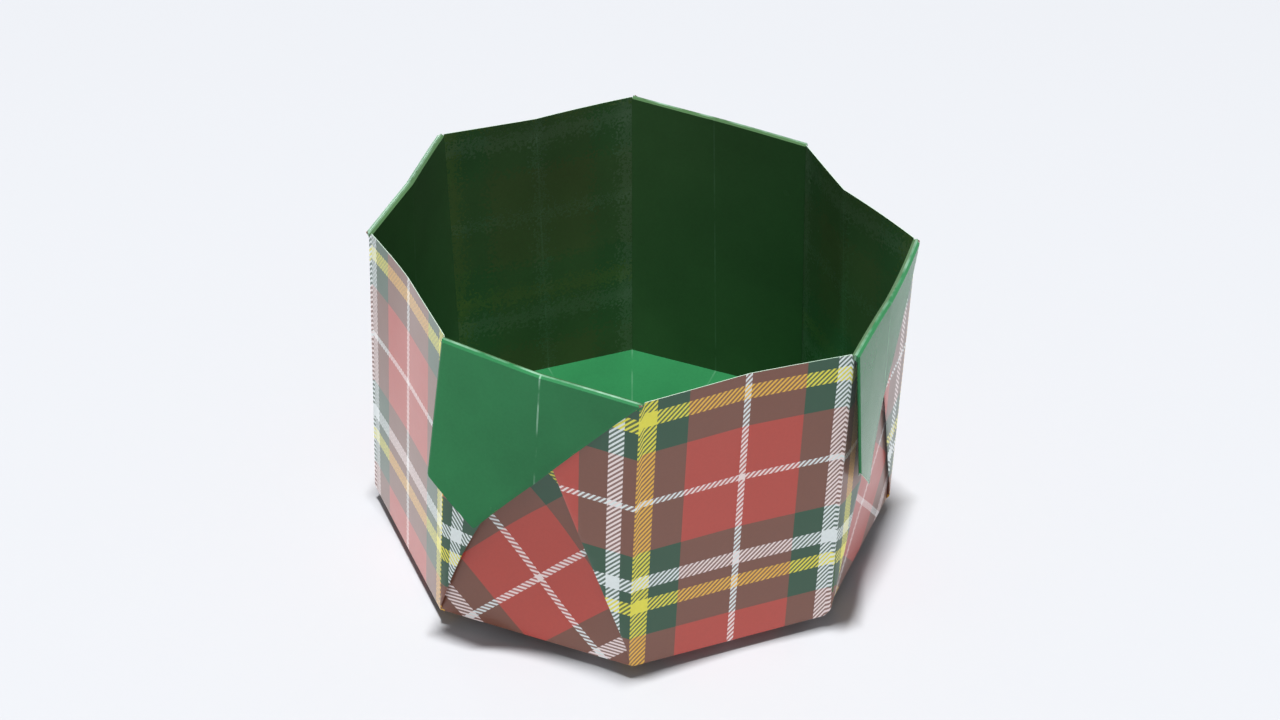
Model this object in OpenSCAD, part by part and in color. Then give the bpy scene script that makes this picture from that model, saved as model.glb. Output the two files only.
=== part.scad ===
// Octagonal box folded from one square sheet of paper, open at the top.
// The sheet's four edges stand up as plain walls, and its four corners make the diagonal walls between them.
// Each base corner holds a pleat, and each sheet corner is turned down outside as a flap.
// The rim has settled a little out of true, as a box folded by hand does.

/* [Sheet] */
// Side of the square sheet before folding
sheet_side = 150; // [142:1:180]
// Thickness of the paper
paper = 0.15; // [0.1:0.05:0.3]
// Air between two layers that are folded flat on each other
layer_gap = 0.05; // [0.05:0.05:0.2]

/* [Floor] */
// Width of the floor across its flats
base_width = 65; // [56:0.5:69]
// How far the middle of the floor sags below its edges
floor_sag = 1.8; // [0.4:0.1:3]
// Width of the flat round that the box rests on
rest_width = 26; // [16:1:40]

/* [Rim] */
// How far the settled rim has moved, at most, from where upright walls would end
rim_settle = 3; // [0.5:0.1:3.5]

/* [Flaps] */
// Angle by which the left edge of the loosest turned-down corner stands off its wall
flap_tilt = 11; // [2:0.5:14]
// Where the tuck fold meets the flap's slanted edge, as a share of that edge from its upper end
tuck_share = 0.48; // [0.4:0.02:0.6]

/* [Hidden] */

// Where the rim has settled at each crease, from +X on: outwards and anticlockwise, as shares of rim_settle
lean_shares = [-1, -0.8, -0.2, 0.3, 0, 0.3, -0.2, -0.3, -0.5, -0.5, 0.3, 0.7, 0.3, 0.5, 0.3, 0];
shift_shares = [0.2, 0.2, 0.7, 0.3, 0.7, 0.5, 0.3, 0.5, 0, 0.2, 0.5, 0.2, 0, -0.3, -0.7, 0];

// How steeply each flap stands off at its left edge and in its middle, as shares of the slope of flap_tilt
left_slope_shares = [0.6, 0.7, 1, 0.55];
middle_slope_shares = [0.25, 0.3, 0.25, 0.1];

// How far the tucked part is drawn in, along its fold and square to it, so that the flap hides it
drawn_along_share = 0.93;
drawn_across_share = 0.55;

// How much less than the flap its tucked part and its turned-in sides stand off
tucked_slope_share = 0.8;
turned_slope_share = 0.6;

// A pleat's free edge bends below this share of the wall's height
edge_bend_share = 0.9;

// The floor is an octagon, and creases run out from its centre to every corner and every mid-wall
wall_count = 8;
crease_count = 2 * wall_count;
crease_step = 360 / crease_count;

// Sizes that follow from the sheet and the floor
apothem = base_width / 2;
wall_length = base_width * tan(crease_step);
half_wall = wall_length / 2;
wall_height = sheet_side / 2 - apothem;
pleat_width = wall_height * tan(crease_step);
flap_drop = pleat_width + half_wall;

// Outer face of each layer on a diagonal wall, measured outwards from the wall's own face
layer_pitch = paper + layer_gap;
wall_level = 0;
left_inner_level = wall_level + layer_pitch;
left_outer_level = left_inner_level + layer_pitch;
right_inner_level = left_outer_level + layer_pitch;
right_outer_level = right_inner_level + layer_pitch;
left_turn_level = right_outer_level + layer_pitch;
right_turn_level = left_turn_level + layer_pitch;
tuck_level = right_turn_level + layer_pitch;
flap_level = tuck_level + layer_pitch;

// How far a turned edge reaches past its crease, and how far it stops short of the crease's ends
bite = paper / 4;
fold_end = 6 * paper;

// A diagonal wall seen from outside: x runs along its foot, y up it.
// It bends from its foot to the middle of its rim.
foot_left = [0, 0];
foot_right = [wall_length, 0];
mid_rim = [half_wall, wall_height];

// Upper edge of the layers that are turned down, inside the fold of the rim
hinge = wall_height - bite;
hinge_left = [0, hinge];
hinge_mid = [half_wall, hinge];
hinge_right = [wall_length, hinge];

// Corners of a flap, and where the wall's bend crosses its tuck fold
left_corner = [0, wall_height - pleat_width];
right_corner = [wall_length, wall_height - pleat_width];
sheet_corner = [half_wall, wall_height - flap_drop];
tuck_tip = left_corner + tuck_share * (sheet_corner - left_corner);
tuck_bend = meeting(hinge_right, tuck_tip, foot_right, mid_rim);

// Creases that bend the floor: every corner, and the middle of every plain wall
bends = [for (i = [0 : crease_count - 1]) if (i % 4 != 2) i];
bend_count = len(bends);

// Facets of each outline on a diagonal wall, as triangles of its spots
bar_facets = [[0, 1, 2], [0, 2, 3]];
bent_bar_facets = [[0, 1, 4], [0, 4, 5], [1, 2, 3], [1, 3, 4]];
pleat_facets = [[0, 1, 3], [1, 2, 3], [0, 3, 4]];
flap_facets = [[0, 1, 4], [1, 2, 4], [2, 3, 4], [0, 4, 5]];
right_turn_facets = [[0, 1, 3], [1, 2, 3], [0, 3, 5], [3, 4, 5]];
tucked_facets = [[0, 5, 6], [0, 4, 5], [0, 3, 4], [0, 1, 3], [1, 2, 3]];

function is_mid_wall(crease) = crease % 4 == 0;

function reversed(list) = [for (i = [len(list) - 1 : -1 : 0]) list[i]];

// Point where the line through p and q meets the line through a and b
function meeting(p, q, a, b) =
    let (along = q - p, across = [a.y - b.y, b.x - a.x])
    p + along * (((a - p) * across) / (along * across));

// Point folded over the line from p to q and drawn in
function tucked(point, p, q) =
    let (
        along = (q - p) / norm(q - p),
        across = [-along.y, along.x],
        reach = point - p
    )
    p + drawn_along_share * (reach * along) * along - drawn_across_share * (reach * across) * across;

// Point on one crease at one distance from the centre and one height
function crease_point(crease, reach, height) =
    [reach * cos(crease * crease_step), reach * sin(crease * crease_step), height];

// How far the rim has moved at one crease
function rim_step(crease) =
    let (
        i = crease % crease_count,
        angle = crease * crease_step,
        outwards = [cos(angle), sin(angle), 0],
        around = [-sin(angle), cos(angle), 0]
    )
    rim_settle * (lean_shares[i] * outwards + shift_shares[i] * around);

// Point of an upright wall at one crease, so far inside its outer face
function wall_point(crease, inset, height) =
    crease_point(crease, (apothem - inset) / (crease % 2 == 0 ? 1 : cos(crease_step)), height);

// Rings of the flat round under the floor's middle, of the walls' foot and of their settled rim
function rest_ring(height) = [for (crease = bends) crease_point(crease, rest_width / 2, height)];
function foot_ring(inset, height) = [for (crease = bends) wall_point(crease, inset, height)];
function rim_ring(inset, height) =
    [for (crease = [0 : crease_count - 1]) wall_point(crease, inset, height) + rim_step(crease)];

// Triangles of the floor, from the rest ring at index a to the foot ring at index b
function floor_faces(a, b) = [
    for (i = [0 : bend_count - 1])
        let (next = (i + 1) % bend_count)
        each is_mid_wall(bends[next])
            ? [[a + i, b + i, b + next], [a + i, b + next, a + next]]
            : [[a + i, b + i, a + next], [a + next, b + i, b + next]]
];

// Triangles of one wall, from the foot ring at index a to the rim ring at index b
function wall_faces(wall, a, b) =
    let (
        mid = 2 * wall,
        left = (mid + crease_count - 1) % crease_count,
        right = mid + 1,
        creases = is_mid_wall(mid) ? [left, mid, right] : [left, right],
        foot = [for (crease = creases) a + search(crease, bends)[0]],
        last = len(foot) - 1
    )
    concat(
        [[foot[0], b + left, b + mid], [foot[last], b + mid, b + right]],
        [for (i = [1 : last]) [foot[i - 1], b + mid, foot[i]]]
    );

// Triangles of every wall
function all_wall_faces(a, b) = [for (wall = [0 : wall_count - 1]) each wall_faces(wall, a, b)];

// Triangles of the raw edge, from the outer rim ring at index a to the inner one at index b
function raw_edge_faces(a, b) = [
    for (i = [0 : crease_count - 1])
        let (next = (i + 1) % crease_count)
        each [[a + i, b + i, b + next], [a + i, b + next, a + next]]
];

// Sagging floor and eight walls, one paper thick, with the rim as it has settled
module cup() {
    rim = floor_sag + wall_height;
    outside = concat(rest_ring(0), foot_ring(0, floor_sag), rim_ring(0, rim));
    inside = concat(rest_ring(paper), foot_ring(paper, floor_sag + paper), rim_ring(paper, rim));
    round = [for (i = [0 : bend_count - 1]) i];
    foot = bend_count;
    top = 2 * bend_count;
    inner = len(outside);
    shell = concat([round], floor_faces(0, foot), all_wall_faces(foot, top));
    polyhedron(
        points = concat(outside, inside),
        faces = concat(
            shell,
            raw_edge_faces(top, inner + top),
            [for (face = shell) [for (i = reversed(face)) inner + i]]
        )
    );
}

// Point of the stack on a diagonal wall, so far outside the wall's own face, moved with the settled rim
function on_wall(wall, spot, level) =
    let (
        angle = 2 * wall * crease_step,
        height_share = spot.y / wall_height,
        left_share = spot.x / half_wall,
        right_share = 2 - left_share
    )
    (apothem + level) * [cos(angle), sin(angle), 0]
    + (spot.x - half_wall) * [-sin(angle), cos(angle), 0]
    + [0, 0, floor_sag + spot.y]
    + max(0, height_share - left_share) * rim_step(2 * wall - 1)
    + min(height_share, left_share, right_share) * rim_step(2 * wall)
    + max(0, height_share - right_share) * rim_step(2 * wall + 1);

// How far a flap stands off its wall at one spot
function stand_off(wall, spot) =
    let (
        flap = (wall - 1) / 2,
        left_share = spot.x / half_wall,
        left = left_slope_shares[flap],
        middle = middle_slope_shares[flap],
        slope_share = left_share < 1 ? left + left_share * (middle - left) : (2 - left_share) * middle
    )
    slope_share * tan(flap_tilt) * (wall_height - spot.y);

// Paper between two levels of a stack: spots of its outline, anticlockwise, and how far each stands off
module slab(wall, spots, facets, low, high, stands = [], flipped = false) {
    count = len(spots);
    points = [
        for (level = [low, high], i = [0 : count - 1])
            let (spot = flipped ? [wall_length - spots[i].x, spots[i].y] : spots[i])
            on_wall(wall, spot, level + (len(stands) > 0 ? stands[i] : 0))
    ];
    sides = [
        for (i = [0 : count - 1])
            let (next = (i + 1) % count)
            [count + i, count + next, next, i]
    ];
    faces = concat(facets, [for (facet = facets) [for (i = reversed(facet)) count + i]], sides);
    polyhedron(points = points, faces = flipped ? [for (face = faces) reversed(face)] : faces);
}

// One layer of paper, with its outer face at one level
module layer(wall, spots, facets, level, stands = [], flipped = false) {
    slab(wall, spots, facets, level - paper, level, stands, flipped);
}

// Turned edge of the sheet, from the middle of one layer to the middle of another
module fold_edge(wall, spots, facets, from_level, to_level, stands = [], flipped = false) {
    slab(wall, spots, facets, from_level - paper / 2, to_level - paper / 2, stands, flipped);
}

// Strip of paper just inside the folded edge through these spots, on its left side
function edge_strip(spots) =
    let (
        last = len(spots) - 1,
        along = (spots[last] - spots[0]) / norm(spots[last] - spots[0]),
        inwards = [-along.y, along.x],
        steps = [for (i = [0 : last]) i == 0 ? fold_end : i == last ? -fold_end : 0],
        line = [for (i = [0 : last]) spots[i] + steps[i] * along + bite * inwards]
    )
    concat(line, [for (spot = reversed(line)) spot + paper * inwards]);

// Point of a pleat's free edge at one height; the edge starts one paper above the floor's corner
function pleat_edge(height) = [(height - paper) * tan(crease_step), height];

// Half of a wedge of the sheet, from the base corner up to the rim, bent with the wall
function half_wedge(top, bend) =
    [pleat_edge(paper), pleat_edge(bend), pleat_edge(top), [half_wall, top], [0, top]];

// Wedge at a base corner, folded double along its middle and laid on the wall from the left, or flipped
module pleat(wall, inner_level, outer_level, flipped) {
    outer_top = wall_height - layer_pitch;
    crossing = wall_length / (tan(crease_step) + half_wall / wall_height);
    bend = min(crossing, edge_bend_share * wall_height);
    free_edge = edge_strip([pleat_edge(paper), pleat_edge(bend), pleat_edge(outer_top)]);
    corner = [[-bite, bite], [paper - bite, bite], [paper - bite, outer_top], [-bite, outer_top]];
    layer(wall, half_wedge(wall_height, bend), pleat_facets, inner_level, flipped = flipped);
    layer(wall, half_wedge(outer_top, bend), pleat_facets, outer_level, flipped = flipped);
    fold_edge(wall, free_edge, bent_bar_facets, inner_level, outer_level, flipped = flipped);
    fold_edge(wall, corner, bar_facets, wall_level, outer_level, flipped = flipped);
}

// How far each spot of a flap's layer stands off
function stands(wall, spots, share = 1) = [for (spot = spots) share * stand_off(wall, spot)];

// Corner of the sheet turned down over the rim, with its lower right part tucked behind it
module flap(wall) {
    outline = [left_corner, tuck_tip, tuck_bend, hinge_right, hinge_mid, hinge_left];
    layer(wall, outline, flap_facets, flap_level, stands(wall, outline));

    // The tucked part, out to where the sheet's corner and its side end under the flap
    inner_end = tucked(right_corner, hinge_right, tuck_tip);
    outer_end = tucked(sheet_corner, hinge_right, tuck_tip);
    side_bend = meeting(hinge_right, inner_end, foot_right, mid_rim);
    end_bend = meeting(inner_end, outer_end, foot_left, mid_rim);
    fold = [tuck_tip, tuck_bend, hinge_right];
    hidden = [side_bend, inner_end, end_bend, outer_end];
    tucked_stands = concat(stands(wall, fold), stands(wall, hidden, tucked_slope_share));
    layer(wall, concat(fold, hidden), tucked_facets, tuck_level, tucked_stands);
    tuck_fold = edge_strip(fold);
    fold_edge(wall, tuck_fold, bent_bar_facets, tuck_level, flap_level, stands(wall, tuck_fold));

    // The side of the sheet beside the tucked part, turned in under the rim
    right_reach = [wall_length - pleat_width, hinge];
    right_bend = meeting(inner_end, right_reach, foot_left, mid_rim);
    right_turn = [inner_end, side_bend, hinge_right, hinge_mid, right_reach, right_bend];
    right_stands = stands(wall, right_turn, tucked_slope_share);
    layer(wall, right_turn, right_turn_facets, right_turn_level, right_stands);

    // The side of the sheet on the left, turned in along the flap's left edge
    left_reach = [pleat_width, hinge];
    lower_bend = meeting(left_corner, left_reach, foot_left, mid_rim);
    upper_bend = meeting(left_corner, left_reach, foot_right, mid_rim);
    turned_in = [lower_bend, upper_bend, left_reach, hinge_mid];
    left_stands = concat(
        stands(wall, [left_corner]),
        stands(wall, turned_in, turned_slope_share),
        stands(wall, [hinge_left])
    );
    layer(wall, concat([left_corner], turned_in, [hinge_left]), flap_facets, left_turn_level, left_stands);
    left_fold = edge_strip([hinge_left, left_corner]);
    fold_edge(wall, left_fold, bar_facets, left_turn_level, flap_level, stands(wall, left_fold));
}

// Top of a diagonal wall, where the sheet turns over its pleats
module rim_fold(wall) {
    bottom = wall_height - paper / 2;
    line = [[-bite, bottom], [half_wall, bottom], [wall_length + bite, bottom]];
    bar = concat(line, [for (spot = reversed(line)) spot + [0, paper]]);
    fold_edge(wall, bar, bent_bar_facets, wall_level, flap_level);
}

// The whole sheet: the cup, and a pair of pleats and a flap on each diagonal wall
module folded_sheet() {
    color("darkgreen") {
        cup();
        for (wall = [1 : 2 : wall_count - 1]) {
            pleat(wall, left_inner_level, left_outer_level, false);
            pleat(wall, right_inner_level, right_outer_level, true);
            rim_fold(wall);
            flap(wall);
        }
    }
}

folded_sheet();
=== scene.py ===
import math

import bmesh
import bpy
from bpy.props import FloatProperty, FloatVectorProperty, PointerProperty
from mathutils import Matrix, Vector


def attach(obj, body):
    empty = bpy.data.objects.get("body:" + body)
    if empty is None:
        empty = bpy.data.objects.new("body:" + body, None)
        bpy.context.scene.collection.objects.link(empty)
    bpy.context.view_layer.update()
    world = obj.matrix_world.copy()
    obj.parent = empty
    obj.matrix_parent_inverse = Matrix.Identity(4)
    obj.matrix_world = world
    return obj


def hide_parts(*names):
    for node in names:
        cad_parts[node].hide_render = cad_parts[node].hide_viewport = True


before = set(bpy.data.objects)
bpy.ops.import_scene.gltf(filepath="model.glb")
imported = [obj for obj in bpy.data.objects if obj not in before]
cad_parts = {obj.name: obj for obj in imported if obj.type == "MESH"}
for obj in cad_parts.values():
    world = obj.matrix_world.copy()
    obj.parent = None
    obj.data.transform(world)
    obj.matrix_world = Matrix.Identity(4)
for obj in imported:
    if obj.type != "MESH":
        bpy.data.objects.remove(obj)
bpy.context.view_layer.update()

bl_info = {
    "name": "Folded Octagonal Box",
    "version": (1, 0, 0),
    "blender": (4, 5, 0),
    "location": "View3D > Sidebar > Octagonal Box",
    "description": "Folds a square sheet of tartan paper into an open octagonal box",
    "category": "Add Mesh",
}

MM = 0.001
UP = Vector((0, 0, 1))

# The crease pattern is an octagon: plain walls have even numbers, diagonal walls odd ones
WALL_COUNT = 8
WALL_STEP = math.tau / WALL_COUNT
CREASE_STEP = WALL_STEP / 2
CREASE_COUNT = 2 * WALL_COUNT
DIAGONAL_WALLS = range(1, WALL_COUNT, 2)
QUARTER_TURN = math.pi / 2
HALF_TURN = math.pi

# Places closer than this are taken to lie on a crease
SLACK = 0.02 * MM

# A tuck is drawn in by these shares, across its fold and along it
TUCK_GATHER_ACROSS = 0.55
TUCK_GATHER_ALONG = 0.93

# A left pleat's curl is over at two thirds of the wall's height
CURL_RATE = 1.5

# The floor rises from the round it stands on with this power of the distance from it
SAG_POWER = 1.2

# Edges sharper than this stay crisp
SHARP_ANGLE = math.radians(20)

# Noise scales of the paper, in repeats per metre
FINE_GRAIN = 2500
BROAD_GRAIN = 300
CLOUDS = 80

# How much detail the noise has, how deep its fine bumps are, and how far it varies the gloss
GRAIN_DETAIL = 3.0
GRAIN_DEPTH = 0.05 * MM
ROUGHNESS_SPREAD = 0.1

# Sockets of a mix node, by their places, because several of them share a name
MIX_SHARE = 0
MIX_NUMBERS = (2, 3)
MIX_COLOURS = (6, 7)
MIXED_COLOUR = 2

# The lamp overhead hangs a little to the left and to the front, with its long side along X
LAMP_PLACE = Vector((-60, -70, 1500)) * MM
LAMP_AIM = Vector((0, -70, 0)) * MM
LAMP_WIDTH = 60 * MM
LAMP_LENGTH = 180 * MM

# Low lamps stand round the box, one before each wall
FILL_DISTANCE = 420 * MM
FILL_MIDDLE = UP * 21 * MM
FILL_WIDTH = 300 * MM
FILL_HEIGHT = 40 * MM

# Half the side of the table, in metres, and how near to the camera things are drawn
TABLE_REACH = 3
CLIP_START = 10 * MM


def srgb(red, green, blue):
    """Colour picked on a screen, 0 to 255, as the linear colour that Blender's sockets take."""
    shares = [channel / 255 for channel in (red, green, blue)]
    return tuple(c / 12.92 if c <= 0.04045 else ((c + 0.055) / 1.055) ** 2.4 for c in shares)


def length_property(name, description, default):
    """A size in metres that a user can change."""
    return FloatProperty(
        name=name, description=description, default=default, subtype="DISTANCE", unit="LENGTH")


def angle_property(name, description, degrees):
    """An angle that a user can change."""
    return FloatProperty(
        name=name, description=description, default=math.radians(degrees), subtype="ANGLE")


def colour_property(name, description, default):
    """A colour that a user can change."""
    return FloatVectorProperty(
        name=name, description=description, default=default, subtype="COLOR", min=0, max=1)


def slopes_property(name, description, default):
    """A row of slopes that a user can change."""
    return FloatVectorProperty(name=name, description=description, default=default, size=len(default))


def lengths_property(name, description, millimetres):
    """A row of lengths that a user can change."""
    return FloatVectorProperty(
        name=name,
        description=description,
        default=[length * MM for length in millimetres],
        size=len(millimetres),
        unit="LENGTH",
    )


class SheetSizes(bpy.types.PropertyGroup):
    """Sizes of the sheet and of the way it is folded."""

    sheet_side: length_property("Sheet side", "Side of the square sheet before folding", 150 * MM)
    base_width: length_property("Base width", "Width of the floor across its flats", 65 * MM)
    floor_sag: length_property("Floor sag", "How far the floor's middle sags below its edges", 1.8 * MM)
    rest_width: length_property("Rest width", "Width of the flat round that the box stands on", 26 * MM)
    paper: length_property("Paper", "Thickness of the paper", 0.08 * MM)
    layer_gap: length_property("Layer gap", "Air between two layers folded flat on each other", 0.03 * MM)
    fold_round: length_property("Fold round", "Width of the strip in which a folded edge turns", 0.28 * MM)
    pleat_slack: length_property(
        "Pleat slack", "How far a left pleat's free edge stands off at its foot", 0.5 * MM)
    pleat_curl: length_property(
        "Pleat curl", "How far a left pleat's free edge has curled back, at most", 1.3 * MM)
    pleat_draw: length_property(
        "Pleat draw", "How far a right pleat's free edge lies back from its fold", 0.65 * MM)
    cell: length_property("Cell", "Side of one cell of the sheet's mesh", 1.25 * MM)
    tuck_share: FloatProperty(
        name="Tuck share",
        description="Where the tuck fold meets the flap's slanted edge, as a share from its upper end",
        default=0.48,
        subtype="FACTOR",
    )
    pleat_lift: slopes_property(
        "Pleat lift",
        "Slope at which the left and the right pleat of a diagonal wall stand off it",
        (0.16, 0.01),
    )
    flap_lift_left: slopes_property(
        "Flap lift, left edge",
        "Slope at which each flap's left edge stands off, from the wall at 45 degrees on, anticlockwise",
        (0.12, 0.14, 0.19, 0.105),
    )
    flap_lift_middle: slopes_property(
        "Flap lift, middle",
        "Slope at which the middle crease of each flap stands off its wall, in the same order",
        (0.05, 0.06, 0.05, 0.02),
    )
    wall_bow: lengths_property(
        "Wall bow",
        "How far the middle of each diagonal wall bows inwards, in the same order",
        (0, 0, 2.2, 0),
    )
    rim_lean: lengths_property(
        "Rim lean",
        "How far the rim leans outwards at each crease, from the wall on +X on and anticlockwise",
        (-3, -2.5, -0.5, 1, 0, 1, -0.5, -1, -1.5, -1.5, 1, 2, 1, 1.5, 1, 0),
    )
    rim_shift: lengths_property(
        "Rim shift",
        "How far the rim is pushed anticlockwise at each crease, in the same order",
        (0.5, 0.5, 2, 1, 2, 1.5, 1, 1.5, 0, 0.5, 1.5, 0.5, 0, -1, -2, 0),
    )


class TartanLook(bpy.types.PropertyGroup):
    """Colours of the paper and sizes of its tartan."""

    red: colour_property("Red", "Where two red bands cross", srgb(184, 65, 51))
    brown: colour_property("Brown", "Where a red band crosses a green one", srgb(120, 73, 56))
    dark_green: colour_property("Dark green", "Where two green bands cross", srgb(24, 76, 50))
    lemon: colour_property("Lemon", "Yellow stripe on a green band", srgb(240, 232, 66))
    gold: colour_property("Gold", "Yellow stripe on a red band", srgb(246, 192, 62))
    cool_white: colour_property("Cool white", "White stripe on a green band", srgb(238, 246, 246))
    warm_white: colour_property("Warm white", "White stripe on a red band", srgb(250, 234, 232))
    reverse: colour_property("Reverse", "Plain back of the paper", srgb(42, 115, 69))
    worn: colour_property("Worn", "Worn fibres along a crease of the plain back", srgb(165, 205, 180))
    raw_edge: colour_property("Raw edge", "Cut edge of the paper", srgb(205, 214, 200))
    repeat: length_property("Repeat", "Length in which the tartan repeats", 29.7 * MM)
    stripe_offset: length_property("Stripe offset", "Broad stripes' distance from a thin one", 12.9 * MM)
    red_width: length_property("Red width", "Width of a red band", 15.6 * MM)
    broad_width: length_property("Broad width", "Width of a yellow or a broad white stripe", 2.1 * MM)
    thin_width: length_property("Thin width", "Width of a thin white stripe", 0.9 * MM)
    twill_pitch: length_property(
        "Twill pitch", "Distance along the sheet's side from one twill line to the next", 0.76 * MM)


class StageLook(bpy.types.PropertyGroup):
    """Camera, light and floor."""

    floor_colour: colour_property("Floor", "Colour of the table", srgb(194, 196, 200))
    backdrop_colour: colour_property("Backdrop", "Colour of the surroundings", srgb(246, 247, 250))
    lamp_power: FloatProperty(
        name="Lamp power", description="Power of the lamp overhead in watts", default=32, unit="POWER")
    fill_power: FloatProperty(
        name="Fill power", description="Power of each low lamp in watts", default=0.155, unit="POWER")
    room_light: FloatProperty(
        name="Room light", description="Strength of the surroundings", default=0.22, subtype="FACTOR")
    camera_place: FloatVectorProperty(
        name="Camera place",
        description="Where the camera stands",
        default=(-103.7 * MM, -238.2 * MM, 205.1 * MM),
        subtype="TRANSLATION",
        unit="LENGTH",
    )
    view_turn: angle_property("View turn", "Angle by which the camera looks to the right of +Y", 23.64)
    view_drop: angle_property("View drop", "Angle by which the camera looks down", 34.81)
    view_roll: angle_property("View roll", "Angle by which the camera is turned about its sight line", 1.69)
    view_width: angle_property("View width", "Horizontal field of view", 30.12)


class CreasePattern:
    """Lengths and lines of the flat sheet that follow from its side and from the floor."""

    def __init__(self, sizes):
        self.rim = sizes.sheet_side / 2
        self.apothem = sizes.base_width / 2
        self.half_wall = self.apothem * math.tan(CREASE_STEP)
        self.wall_height = self.rim - self.apothem
        self.pleat_width = self.wall_height * math.tan(CREASE_STEP)
        self.flap_drop = self.pleat_width + self.half_wall
        slant = Vector((self.half_wall, self.flap_drop - self.pleat_width))
        left_corner = Vector((-self.half_wall, self.pleat_width))
        self.tuck_tip = left_corner + sizes.tuck_share * slant
        self.tuck_start = Vector((self.half_wall, 0))
        self.tuck_along = (self.tuck_tip - self.tuck_start).normalized()

    def past_tuck(self, along, drop):
        """Distance of a place on a flap from the tuck fold, positive on the side that is tucked away."""
        reach = Vector((along, drop)) - self.tuck_start
        return self.tuck_along.y * reach.x - self.tuck_along.x * reach.y

    def height_share(self, place):
        """How high up its wall a place lies, from 0 at the base to 1 at the rim."""
        return (place.out - self.apothem) / self.wall_height


def wall_axes(wall):
    """Directions out of a wall and along it, anticlockwise, on the flat sheet."""
    angle = wall * WALL_STEP
    out = Vector((math.cos(angle), math.sin(angle), 0))
    return out, UP.cross(out)


def wall_of(spot):
    """Number of the wall whose sector holds a spot; a pleat's fold counts to the plain wall."""
    turns = math.atan2(spot.y, spot.x) / WALL_STEP
    wall = round(turns)
    on_fold = abs(abs(turns - wall) * WALL_STEP - CREASE_STEP) * spot.length < SLACK
    if on_fold and wall % 2:
        wall += 1 if turns > wall else -1
    return wall % WALL_COUNT


class Place:
    """Where a vertex lies on the flat sheet: its wall's sector, the distance out and the one along."""

    def __init__(self, spot):
        self.wall = wall_of(spot)
        out, along = wall_axes(self.wall)
        self.out = spot.dot(out)
        self.along = spot.dot(along)

    @property
    def is_diagonal(self):
        return self.wall % 2 == 1


def crease(bm, point, across, belongs):
    """Cuts the faces that belong along the line through a point, square to a direction."""
    faces = [face for face in bm.faces if belongs(face.calc_center_median())]
    parts = set(faces)
    for face in faces:
        parts.update(face.edges)
        parts.update(face.verts)
    bmesh.ops.bisect_plane(bm, geom=list(parts), dist=SLACK / 2, plane_co=point, plane_no=across)


def cut_creases(bm, pattern, sizes):
    """Cuts every crease of the box into the flat sheet, with a strip beside each folded edge."""
    strip = sizes.fold_round

    def anywhere(spot):
        return True

    for step in range(WALL_COUNT):
        angle = step * CREASE_STEP
        crease(bm, Vector(), Vector((-math.sin(angle), math.cos(angle), 0)), anywhere)

    for wall in range(WALL_COUNT):
        out, along = wall_axes(wall)

        def in_sector(spot, wall=wall):
            return wall_of(spot) == wall

        def beyond_base(spot, wall=wall, out=out):
            return wall_of(spot) == wall and spot.dot(out) > pattern.apothem

        crease(bm, out * pattern.apothem, out, in_sector)
        for side in (-1, 1):
            for reach in (pattern.half_wall, pattern.half_wall + strip):
                crease(bm, along * side * reach, along, beyond_base)
            fold_along = wall_axes(wall + side / 2)[1]
            crease(bm, fold_along * -side * strip, fold_along, beyond_base)

    for wall in DIAGONAL_WALLS:
        out, along = wall_axes(wall)

        def in_corner(spot, wall=wall, out=out):
            return wall_of(spot) == wall and spot.dot(out) > pattern.apothem + pattern.wall_height / 2

        def in_flap(spot, wall=wall, out=out):
            return wall_of(spot) == wall and spot.dot(out) > pattern.rim

        for reach in (-strip, 0, strip):
            crease(bm, out * (pattern.rim + reach), out, in_corner)
        crease(bm, along * (strip - pattern.half_wall), along, in_flap)
        tuck_across = along * pattern.tuck_along.y - out * pattern.tuck_along.x
        tuck_point = out * pattern.rim + along * pattern.half_wall
        for reach in (-strip, 0, strip):
            crease(bm, tuck_point + tuck_across * reach, tuck_across, in_flap)


def turn(bm, verts, hinge, axis, angle):
    """Folds part of the sheet about a hinge line."""
    bmesh.ops.rotate(bm, verts=verts, cent=hinge, matrix=Matrix.Rotation(angle, 3, axis))


def fold_tucks(bm, places, pattern):
    """Folds the lower right part of each flap behind it, and gathers it in so that the flap hides it."""
    for wall in DIAGONAL_WALLS:
        out, along = wall_axes(wall)
        corner = out * pattern.rim + along * pattern.half_wall
        tuck_along = along * pattern.tuck_along.x + out * pattern.tuck_along.y
        tuck_across = along * pattern.tuck_along.y - out * pattern.tuck_along.x
        flap = [v for v, p in places.items() if p.wall == wall and p.out > pattern.rim + SLACK]
        tucked = [
            v for v in flap
            if places[v].along < pattern.half_wall + SLACK
            and pattern.past_tuck(places[v].along, places[v].out - pattern.rim) > SLACK
        ]
        turn(bm, tucked, corner, tuck_along, HALF_TURN)
        gather = (
            Matrix.Translation(corner)
            @ Matrix.Scale(TUCK_GATHER_ACROSS, 4, tuck_across)
            @ Matrix.Scale(TUCK_GATHER_ALONG, 4, tuck_along)
            @ Matrix.Translation(-corner)
        )
        bmesh.ops.transform(bm, verts=tucked, matrix=gather)

        # The small triangle beside the tuck is drawn in with it, towards the rim
        edge = gather.to_3x3() @ (Matrix.Rotation(HALF_TURN, 3, tuck_along) @ out)
        drawn = out * edge.dot(out) - along * edge.dot(along)
        for v in flap:
            if places[v].along > pattern.half_wall + SLACK:
                reach = v.co - corner
                v.co = corner + along * reach.dot(along) + drawn * reach.dot(out)


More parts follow.
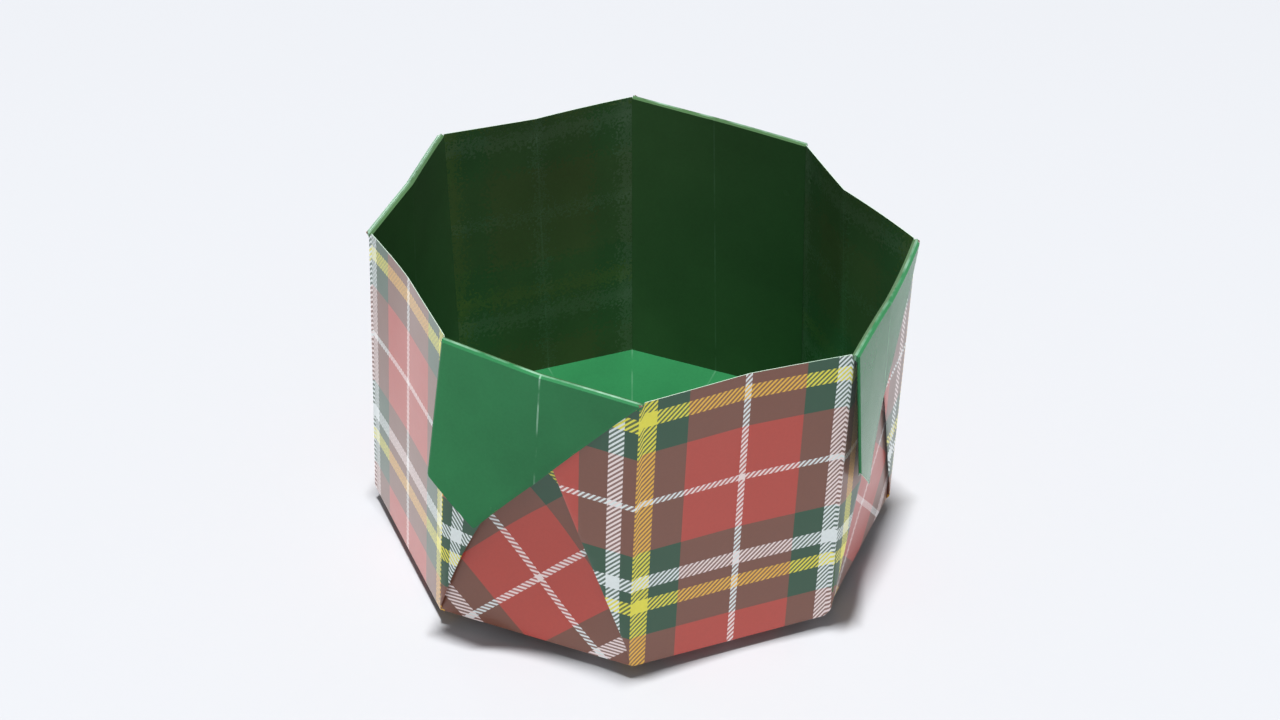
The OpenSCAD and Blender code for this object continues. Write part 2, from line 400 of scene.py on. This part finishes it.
def fold_sheet(bm, places, pattern):
    """Folds the flat sheet into the box: tucks, flaps, pleats, then walls."""
    fold_tucks(bm, places, pattern)
    for wall in DIAGONAL_WALLS:
        out, along = wall_axes(wall)
        sector = {v: p for v, p in places.items() if p.wall == wall}
        turned = [v for v, p in sector.items() if p.out > pattern.rim + SLACK]
        turn(bm, turned, out * pattern.rim, along, HALF_TURN)
        for side in (-1, 1):
            hinge = along * side * pattern.half_wall
            wedge = [
                v for v, p in sector.items()
                if p.along * side > pattern.half_wall + SLACK and p.out > pattern.apothem
            ]
            turn(bm, wedge, hinge, out, HALF_TURN)

    for wall in range(WALL_COUNT):
        out, along = wall_axes(wall)
        foot = pattern.apothem + SLACK
        sector = {v: p for v, p in places.items() if p.wall == wall and p.out > foot}
        turn(bm, list(sector), out * pattern.apothem, along, -QUARTER_TURN)
        if wall % 2:
            continue
        for side in (-1, 1):
            hinge = out * pattern.apothem + along * side * pattern.half_wall
            wedge = [v for v, p in sector.items() if p.along * side > pattern.half_wall + SLACK]
            turn(bm, wedge, hinge, UP, side * WALL_STEP)


def mix(a, b, share):
    """Value between a and b."""
    return a + (b - a) * share


def clamp(value):
    """Value held between 0 and 1."""
    return min(max(value, 0), 1)


class Stack:
    """How far the plain back of each layer on a diagonal wall lies outside that wall's own plain back."""

    def __init__(self, sizes, pattern):
        self.sizes = sizes
        self.pattern = pattern
        back_to_back = sizes.layer_gap
        face_to_back = sizes.layer_gap + sizes.paper
        face_to_face = sizes.layer_gap + 2 * sizes.paper
        self.inner = {-1: face_to_face}
        self.outer = {-1: self.inner[-1] + back_to_back}
        self.inner[1] = self.outer[-1] + face_to_face
        self.outer[1] = self.inner[1] + back_to_back
        self.turn = {-1: self.outer[1] + face_to_back}
        self.turn[1] = self.turn[-1] + face_to_back
        self.tuck = self.turn[1] + face_to_back
        self.flap = self.tuck + face_to_face

    def ease(self, distance):
        """Share of the way from a folded edge to where the layer lies flat."""
        return clamp(distance / self.sizes.fold_round)

    def from_corner(self, place):
        """Distance of a place in a pleat from the corner of the box that the pleat starts at."""
        return abs(place.along) - self.pattern.half_wall

    def fold_distance(self, place):
        """Distance on the flat sheet from the fold that runs along a pleat's free edge."""
        return (place.out * math.tan(CREASE_STEP) - abs(place.along)) * math.cos(CREASE_STEP)

    def pleat(self, place, side, level):
        """Offset of one half of a pleat, which stands off the wall towards its free edge."""
        from_corner = self.from_corner(place)
        at_fold = (self.inner[side] + self.outer[side]) / 2
        flat = mix(at_fold, level, self.ease(self.fold_distance(place)))
        low = max(1 - self.pattern.height_share(place), 0)
        if side < 0:
            slack = self.sizes.pleat_slack * clamp(from_corner / (2 * self.sizes.fold_round))
            lift = self.sizes.pleat_lift[0] * from_corner + slack
        else:
            lift = self.sizes.pleat_lift[1] * from_corner
        return self.ease(from_corner) * flat + lift * low

    def draw_back(self, place, side):
        """How far a pleat's free edge lies back: in a bow on the left, evenly on the right."""
        height_share = self.pattern.height_share(place)
        from_corner = self.from_corner(place)
        edge_share = clamp(from_corner / (height_share * self.pattern.pleat_width))
        if side < 0:
            curl = math.sin(HALF_TURN * clamp(CURL_RATE * height_share))
            return self.sizes.pleat_curl * edge_share * curl
        return self.sizes.pleat_draw * edge_share * clamp(from_corner / (2 * self.sizes.pleat_draw))

    def flap_lift(self, wall, along, drop):
        """How far a flap stands off its wall at a distance along the wall and below the rim."""
        flap = wall // 2
        share = clamp(along / (2 * self.pattern.half_wall) + 0.5)
        left = self.sizes.flap_lift_left[flap]
        middle = self.sizes.flap_lift_middle[flap]
        slope = mix(left, middle, 2 * share) if share < 0.5 else mix(middle, 0, 2 * share - 1)
        return slope * drop

    def bow(self, place):
        """How far a diagonal wall bows inwards between its base, its rim and its two corners."""
        upward = math.sin(HALF_TURN * self.pattern.height_share(place)) ** 2
        across = 1 - (place.along / self.pattern.half_wall) ** 2
        return self.sizes.wall_bow[place.wall // 2] * upward * across

    def offset(self, place, wall, side, along, drop):
        """Offset of a vertex of the stack; along and drop give where it has been folded to."""
        pattern = self.pattern
        above_rim = place.out - pattern.rim
        if not place.is_diagonal:
            return self.pleat(place, side, self.outer[side])
        if abs(place.along) <= pattern.half_wall + SLACK:
            at_rim = self.flap / 2
            if above_rim <= SLACK:
                return mix(at_rim, 0, self.ease(-above_rim)) - self.bow(place)
            past_tuck = pattern.past_tuck(place.along, above_rim)
            at_tuck = (self.tuck + self.flap) / 2
            if past_tuck > SLACK:
                level = mix(at_tuck, self.tuck, self.ease(past_tuck))
            else:
                level = mix(at_tuck, self.flap, self.ease(-past_tuck))
                left_fold = (self.turn[-1] + self.flap) / 2
                level = mix(left_fold, level, self.ease(place.along + pattern.half_wall))
        else:
            at_rim = (self.inner[side] + self.turn[side]) / 2
            if above_rim <= SLACK:
                return mix(at_rim, self.pleat(place, side, self.inner[side]), self.ease(-above_rim))
            at_corner = ((self.flap if side < 0 else self.tuck) + self.turn[side]) / 2
            level = mix(at_corner, self.turn[side], self.ease(self.from_corner(place)))
        return mix(at_rim, level, self.ease(above_rim)) + self.flap_lift(wall, along, drop)


def spread_layers(places, pattern, sizes):
    """Moves the layers of each diagonal wall apart, so that they lie on each other."""
    stack = Stack(sizes, pattern)
    nest = stack.flap
    for vert, place in places.items():
        is_pleat = abs(place.along) > pattern.half_wall + SLACK
        if place.out <= pattern.apothem + SLACK or not (place.is_diagonal or is_pleat):
            continue
        side = 1 if place.along > 0 else -1
        wall = place.wall
        if not place.is_diagonal:
            wall = (place.wall + side) % WALL_COUNT
            side = -side
        if is_pleat:
            height_share = clamp(pattern.height_share(place))
            vert.co.z -= nest * height_share * stack.ease(stack.from_corner(place))
        out, along = wall_axes(wall)
        drop = pattern.wall_height - vert.co.z
        vert.co += out * stack.offset(place, wall, side, vert.co.dot(along), drop)
        if is_pleat and place.out <= pattern.rim:
            vert.co += along * side * stack.draw_back(place, side)

        # A diagonal wall's side folds keep clear of the plain walls' ones, which would lie on them
        if not is_pleat and abs(place.along) > pattern.half_wall - SLACK:
            vert.co -= along * side * sizes.layer_gap * stack.ease(place.out - pattern.apothem)


def sag_floor(places, pattern, sizes):
    """Lets the floor sag onto its flat round, print on the table, with the walls on its edges."""
    rest = sizes.rest_width / 2
    for vert, place in places.items():
        share = clamp((place.out - rest) / (pattern.apothem - rest))
        vert.co.z += sizes.paper + sizes.floor_sag * share ** SAG_POWER


def lean_rim(places, pattern, sizes):
    """Pushes the rim out, in and round as the folded sheet has settled."""
    for vert in places:
        height = (vert.co.z - sizes.floor_sag) / pattern.wall_height
        if height <= 0:
            continue
        radial = Vector((vert.co.x, vert.co.y, 0)).normalized()
        around = UP.cross(radial)
        turns = math.atan2(radial.y, radial.x) / CREASE_STEP
        before = math.floor(turns)
        share = turns - before
        here, after = before % CREASE_COUNT, (before + 1) % CREASE_COUNT
        lean = mix(sizes.rim_lean[here], sizes.rim_lean[after], share)
        shift = mix(sizes.rim_shift[here], sizes.rim_shift[after], share)
        vert.co += (radial * lean + around * shift) * min(height, 1)


def flat_sheet(sizes, pattern):
    """The square sheet, creased, with its flat places kept as the piece's UV map."""
    bm = bmesh.new()
    cells = round(sizes.sheet_side / sizes.cell / 2) * 2
    bmesh.ops.create_grid(bm, x_segments=cells, y_segments=cells, size=pattern.rim)
    cut_creases(bm, pattern, sizes)
    uv = bm.loops.layers.uv.new("sheet")
    for face in bm.faces:
        face.smooth = True
        for loop in face.loops:
            loop[uv].uv = (loop.vert.co.xy / sizes.sheet_side) + Vector((0.5, 0.5))
    return bm


class Shader:
    """Adds nodes to one material's tree."""

    def __init__(self, name):
        self.material = bpy.data.materials.new(name)
        self.material.use_nodes = True
        self.nodes = self.material.node_tree.nodes
        self.links = self.material.node_tree.links
        self.surface = self.nodes["Principled BSDF"].inputs

    def node(self, kind, **settings):
        made = self.nodes.new(kind)
        for name, value in settings.items():
            setattr(made, name, value)
        return made

    def feed(self, socket, value):
        """Links a socket to another, or sets its value."""
        if isinstance(value, bpy.types.NodeSocket):
            self.links.new(value, socket)
        else:
            socket.default_value = value

    def math(self, operation, *values):
        made = self.node("ShaderNodeMath", operation=operation)
        for socket, value in zip(made.inputs, values):
            self.feed(socket, value)
        return made.outputs[0]

    def product(self, *values):
        """All the values multiplied."""
        made, *others = values
        for value in others:
            made = self.math("MULTIPLY", made, value)
        return made

    def blend(self, share, first, second):
        """Mix of two colours."""
        made = self.node("ShaderNodeMix", data_type="RGBA")
        self.feed(made.inputs[MIX_SHARE], share)
        for index, value in zip(MIX_COLOURS, (first, second)):
            if not isinstance(value, bpy.types.NodeSocket):
                value = (*value, 1)
            self.feed(made.inputs[index], value)
        return made.outputs[MIXED_COLOUR]

    def grain(self, scale):
        """Unevenness of the paper at one scale."""
        made = self.node("ShaderNodeTexNoise")
        self.links.new(self.node("ShaderNodeTexCoord").outputs["Object"], made.inputs["Vector"])
        self.feed(made.inputs["Scale"], scale)
        self.feed(made.inputs["Detail"], GRAIN_DETAIL)
        return made.outputs["Fac"]

    def sheet_axes(self, sizes):
        """The two distances, in metres, from the middle of the flat sheet."""
        uv = self.node("ShaderNodeUVMap", uv_map="sheet")
        parts = self.node("ShaderNodeSeparateXYZ")
        self.links.new(uv.outputs["UV"], parts.inputs[0])
        return [
            self.math("MULTIPLY", self.math("SUBTRACT", parts.outputs[axis], 0.5), sizes.sheet_side)
            for axis in (0, 1)
        ]

    def coat(self, colour, tone, roughness, specular, sheen, sheen_roughness, bump):
        """Gives a face of the paper its toned colour, its gloss and its fine bumps."""
        toned = self.node("ShaderNodeHueSaturation")
        self.feed(toned.inputs["Value"], tone)
        self.feed(toned.inputs["Color"], colour)
        height = self.node("ShaderNodeBump")
        self.feed(height.inputs["Strength"], bump)
        self.feed(height.inputs["Distance"], GRAIN_DEPTH)
        self.feed(height.inputs["Height"], self.grain(FINE_GRAIN))
        rough = self.math("MULTIPLY_ADD", self.grain(BROAD_GRAIN), ROUGHNESS_SPREAD, roughness)
        self.feed(self.surface["Base Color"], toned.outputs[0])
        self.feed(self.surface["Roughness"], rough)
        self.feed(self.surface["Normal"], height.outputs["Normal"])
        self.surface["Specular IOR Level"].default_value = specular
        self.surface["Sheen Weight"].default_value = sheen
        self.surface["Sheen Roughness"].default_value = sheen_roughness


def tartan_colour(shader, look, axes):
    """Colour of the tartan: crossing bands, and stripes drawn on alternate twill lines."""
    half_line = 0.26
    line_cover, gap_cover = 0.92, 0.1
    one_red_band, two_red_bands = 0.25, 0.75
    twill_sum = shader.math("DIVIDE", shader.math("ADD", *axes), look.twill_pitch)
    twill = shader.math("COMPARE", shader.math("WRAP", twill_sum, 0.5, -0.5), 0, half_line)
    twill_shares = (twill, shader.math("SUBTRACT", 1, twill))

    places = [shader.math("WRAP", axis, look.repeat / 2, -look.repeat / 2) for axis in axes]
    red_bands = [shader.math("COMPARE", place, 0, look.red_width / 2) for place in places]
    ground = shader.node("ShaderNodeValToRGB")
    ground.color_ramp.interpolation = "CONSTANT"
    ground.color_ramp.elements[0].color = (*look.dark_green, 1)
    ground.color_ramp.elements[1].position = two_red_bands
    ground.color_ramp.elements[1].color = (*look.red, 1)
    ground.color_ramp.elements.new(one_red_band).color = (*look.brown, 1)
    shader.feed(ground.inputs[0], shader.math("DIVIDE", shader.math("ADD", *red_bands), 2))
    colour = ground.outputs[0]

    for place, twill_share, crossed_red in zip(places, twill_shares, reversed(red_bands)):
        yellow = shader.math("COMPARE", place, -look.stripe_offset, look.broad_width / 2)
        broad_white = shader.math("COMPARE", place, look.stripe_offset, look.broad_width / 2)
        thin_white = shader.math("COMPARE", place, 0, look.thin_width / 2)
        stripe = shader.math("MAXIMUM", yellow, shader.math("MAXIMUM", broad_white, thin_white))
        cover = shader.math("MULTIPLY_ADD", twill_share, line_cover - gap_cover, gap_cover)
        white_thread = shader.blend(crossed_red, look.cool_white, look.warm_white)
        yellow_thread = shader.blend(crossed_red, look.lemon, look.gold)
        thread = shader.blend(yellow, white_thread, yellow_thread)
        colour = shader.blend(shader.product(stripe, cover), colour, thread)
    return colour


def tartan_face(look, sizes):
    """Printed face of the paper, with a satin gloss."""
    shader = Shader("tartan_face")
    shade_spread, darkest = 0.12, 0.94
    tone = shader.math("MULTIPLY_ADD", shader.grain(FINE_GRAIN), shade_spread, darkest)
    colour = tartan_colour(shader, look, shader.sheet_axes(sizes))
    shader.coat(
        colour, tone, roughness=0.26, specular=0.6, sheen=0.5, sheen_roughness=0.3, bump=0.08)
    return shader.material


def crease_wear(shader, pattern, axes):
    """How worn the plain back is: thin pale lines along its creases, broken ones along the rim folds."""
    half_line, half_rim = 0.11 * MM, 0.14 * MM
    inside_share, flap_share, rim_share = 0.12, 0.7, 0.55
    patch_start, patch_rate = 0.38, 3.2

    broad = shader.grain(BROAD_GRAIN)
    patches = shader.product(shader.math("SUBTRACT", broad, patch_start), patch_rate)
    squares = [shader.product(axis, axis) for axis in axes]
    reach = shader.math("SQRT", shader.math("ADD", *squares))
    angle = shader.math("ARCTAN2", axes[1], axes[0])
    off_crease = shader.math("WRAP", angle, CREASE_STEP / 2, -CREASE_STEP / 2)
    radial = shader.math("COMPARE", shader.product(off_crease, reach), 0, half_line)
    diagonal = shader.math("ADD", *[shader.math("ABSOLUTE", axis) for axis in axes])
    rim = pattern.rim * math.sqrt(2)
    on_flap = shader.math("GREATER_THAN", diagonal, rim)
    share = shader.math("MULTIPLY_ADD", on_flap, flap_share - inside_share, inside_share)
    line = shader.product(radial, patches, share)
    fold = shader.product(shader.math("COMPARE", diagonal, rim, half_rim), patches, rim_share)
    return shader.math("MAXIMUM", line, fold)


def painted_through_light(shader, look, pattern, axes):
    """Plain back, with painted light that shines through the paper from outside: a brown tint inside the
    box, and a blurred, faint copy of the print on its plain walls.
    """
    through_light_tint_share, through_light_trace_share = 0.24, 0.08
    blur_width = 9 * MM

    sides = [shader.math("ABSOLUTE", axis) for axis in axes]
    diagonal = shader.math("DIVIDE", shader.math("ADD", *sides), math.sqrt(2))
    octagon = shader.math("MAXIMUM", shader.math("MAXIMUM", *sides), diagonal)
    above_floor = shader.math("GREATER_THAN", octagon, pattern.apothem)
    below_rim = shader.math("LESS_THAN", diagonal, pattern.rim)
    on_wall = shader.product(above_floor, below_rim)
    between_pleats = shader.math("LESS_THAN", shader.math("MINIMUM", *sides), pattern.half_wall)
    on_plain_wall = shader.product(on_wall, between_pleats)
    # Painted light through the paper: a blurred copy of the print on the plain walls, and a brown tint on
    # all the walls
    blur = shader.product(shader.math("SUBTRACT", shader.grain(FINE_GRAIN), 0.5), blur_width)
    through_light_trace = tartan_colour(shader, look, [shader.math("ADD", axis, blur) for axis in axes])
    through_light_tinted = shader.blend(shader.product(on_wall, through_light_tint_share), look.reverse, look.brown)
    return shader.blend(shader.product(on_plain_wall, through_light_trace_share), through_light_tinted, through_light_trace)


def plain_back(look, sizes, pattern):
    """Green back of the paper, worn along its creases, with painted light through the paper: a brown tint
    inside the box, and the print faintly showing through.
    """
    shader = Shader("plain_back")
    shade_spread, cloud_spread, darkest = 0.16, 0.5, 0.67
    axes = shader.sheet_axes(sizes)
    # The ground holds the painted light that shines through the paper
    ground = painted_through_light(shader, look, pattern, axes)
    colour = shader.blend(crease_wear(shader, pattern, axes), ground, look.worn)
    clouds = shader.math("MULTIPLY_ADD", shader.grain(CLOUDS), cloud_spread, darkest)
    tone = shader.math("MULTIPLY_ADD", shader.grain(FINE_GRAIN), shade_spread, clouds)
    shader.coat(
        colour, tone, roughness=0.2, specular=0.17, sheen=0.12, sheen_roughness=0.15, bump=0.1)
    return shader.material


def cut_edge(look):
    """Raw edge of the paper."""
    shader = Shader("cut_edge")
    colour = shader.blend(shader.grain(BROAD_GRAIN), look.raw_edge, look.worn)
    shader.feed(shader.surface["Base Color"], colour)
    shader.surface["Roughness"].default_value = 0.8
    return shader.material


def thicken(context, piece, sizes):
    """Gives the sheet its thickness, on the printed side, and keeps its folds and cut edges crisp."""
    solidify = piece.modifiers.new("Paper", "SOLIDIFY")
    solidify.thickness = sizes.paper
    solidify.offset = -1
    solidify.material_offset = 1
    solidify.material_offset_rim = 2
    sheet = piece.data
    solid = piece.evaluated_get(context.evaluated_depsgraph_get())
    piece.data = bpy.data.meshes.new_from_object(solid)
    piece.modifiers.clear()
    bpy.data.meshes.remove(sheet)
    piece.data.name = piece.name
    piece.data.set_sharp_from_angle(angle=SHARP_ANGLE)


def lay_table(scene, look):
    """Plain pale table under the box."""
    bm = bmesh.new()
    bmesh.ops.create_grid(bm, x_segments=1, y_segments=1, size=TABLE_REACH)
    mesh = bpy.data.meshes.new("table")
    bm.to_mesh(mesh)
    bm.free()
    shader = Shader("table")
    shader.surface["Base Color"].default_value = (*look.floor_colour, 1)
    shader.surface["Roughness"].default_value = 0.9
    shader.surface["Specular IOR Level"].default_value = 0
    mesh.materials.append(shader.material)
    table = bpy.data.objects.new("table", mesh)
    scene.collection.objects.link(table)


def light_surroundings(scene, look):
    """Faint light all round, and a pale backdrop for the camera and for what the paper's gloss shows."""
    world = bpy.data.worlds.new("Studio")
    world.use_nodes = True
    scene.world = world
    nodes, links = world.node_tree.nodes, world.node_tree.links
    path = nodes.new("ShaderNodeLightPath")
    seen = nodes.new("ShaderNodeMath")
    seen.operation = "MAXIMUM"
    links.new(path.outputs["Is Camera Ray"], seen.inputs[0])
    links.new(path.outputs["Is Glossy Ray"], seen.inputs[1])
    strength = nodes.new("ShaderNodeMix")
    links.new(seen.outputs[0], strength.inputs[MIX_SHARE])
    for index, value in zip(MIX_NUMBERS, (look.room_light, 1)):
        strength.inputs[index].default_value = value
    background = nodes["Background"]
    background.inputs["Color"].default_value = (*look.backdrop_colour, 1)
    links.new(strength.outputs[0], background.inputs["Strength"])


def hang_lamp(scene, name, place, aim, width, height, power):
    """Flat lamp that shines from one place towards another, unseen by the camera."""
    data = bpy.data.lights.new(name, "AREA")
    data.shape = "RECTANGLE"
    data.size = width
    data.size_y = height
    data.energy = power
    lamp = bpy.data.objects.new(name, data)
    lamp.location = place
    lamp.rotation_euler = (aim - place).to_track_quat("-Z", "Y").to_euler()
    lamp.visible_camera = False
    scene.collection.objects.link(lamp)


def hang_lamps(scene, look):
    """Lamp above the box, and low ones round it that light its outside and leave its inside dim."""
    hang_lamp(scene, "Lamp", LAMP_PLACE, LAMP_AIM, LAMP_WIDTH, LAMP_LENGTH, look.lamp_power)
    for wall in range(WALL_COUNT):
        place = wall_axes(wall)[0] * FILL_DISTANCE + FILL_MIDDLE
        hang_lamp(scene, f"Fill {wall}", place, FILL_MIDDLE, FILL_WIDTH, FILL_HEIGHT, look.fill_power)


def place_camera(scene, look):
    """Camera at the viewing angle of the photograph."""
    level = math.cos(look.view_drop)
    forward = Vector((
        level * math.sin(look.view_turn),
        level * math.cos(look.view_turn),
        -math.sin(look.view_drop),
    ))
    right = forward.cross(UP).normalized()
    upward = right.cross(forward)
    turned = Matrix.Rotation(-look.view_roll, 3, forward)
    axes = Matrix((turned @ right, turned @ upward, -forward)).transposed()
    data = bpy.data.cameras.new("Camera")
    data.sensor_fit = "HORIZONTAL"
    data.angle = look.view_width
    data.clip_start = CLIP_START
    camera = bpy.data.objects.new("Camera", data)
    camera.matrix_world = Matrix.Translation(look.camera_place) @ axes.to_4x4()
    scene.collection.objects.link(camera)
    scene.camera = camera


class OCTABOX_OT_fold_sheet(bpy.types.Operator):
    """Crease a square sheet of tartan paper and fold it into the octagonal box"""

    bl_idname = "octabox.fold_sheet"
    bl_label = "Fold Sheet"

    def execute(self, context):
        sizes = context.scene.octabox_sizes
        look = context.scene.octabox_tartan
        pattern = CreasePattern(sizes)
        bm = flat_sheet(sizes, pattern)
        places = {vert: Place(vert.co) for vert in bm.verts}
        fold_sheet(bm, places, pattern)
        spread_layers(places, pattern, sizes)
        sag_floor(places, pattern, sizes)
        lean_rim(places, pattern, sizes)

        mesh = bpy.data.meshes.new("tartan_sheet")
        bm.to_mesh(mesh)
        bm.free()
        for material in (plain_back(look, sizes, pattern), tartan_face(look, sizes), cut_edge(look)):
            mesh.materials.append(material)
        piece = bpy.data.objects.new("tartan_sheet", mesh)
        context.scene.collection.objects.link(piece)
        thicken(context, piece, sizes)
        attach(piece, "root")
        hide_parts("folded_sheet")
        return {"FINISHED"}


class OCTABOX_OT_set_stage(bpy.types.Operator):
    """Set up the table, the light and the camera"""

    bl_idname = "octabox.set_stage"
    bl_label = "Set Stage"

    def execute(self, context):
        look = context.scene.octabox_stage
        lay_table(context.scene, look)
        light_surroundings(context.scene, look)
        hang_lamps(context.scene, look)
        place_camera(context.scene, look)
        context.scene.view_settings.view_transform = "Standard"
        return {"FINISHED"}


class OCTABOX_PT_panel(bpy.types.Panel):
    """Sizes, colours and steps of the folded box"""

    bl_idname = "OCTABOX_PT_panel"
    bl_label = "Octagonal Box"
    bl_space_type = "VIEW_3D"
    bl_region_type = "UI"
    bl_category = "Octagonal Box"

    def draw(self, context):
        scene = context.scene
        for group in (scene.octabox_sizes, scene.octabox_tartan, scene.octabox_stage):
            box = self.layout.box()
            for name in group.__annotations__:
                box.prop(group, name)
        self.layout.operator(OCTABOX_OT_fold_sheet.bl_idname)
        self.layout.operator(OCTABOX_OT_set_stage.bl_idname)


CLASSES = (
    SheetSizes,
    TartanLook,
    StageLook,
    OCTABOX_OT_fold_sheet,
    OCTABOX_OT_set_stage,
    OCTABOX_PT_panel,
)


def register():
    for item in CLASSES:
        bpy.utils.register_class(item)
    bpy.types.Scene.octabox_sizes = PointerProperty(type=SheetSizes)
    bpy.types.Scene.octabox_tartan = PointerProperty(type=TartanLook)
    bpy.types.Scene.octabox_stage = PointerProperty(type=StageLook)


def unregister():
    del bpy.types.Scene.octabox_stage
    del bpy.types.Scene.octabox_tartan
    del bpy.types.Scene.octabox_sizes
    for item in reversed(CLASSES):
        bpy.utils.unregister_class(item)


def main():
    register()
    bpy.ops.octabox.fold_sheet()
    bpy.ops.octabox.set_stage()


if __name__ == "__main__":
    main()
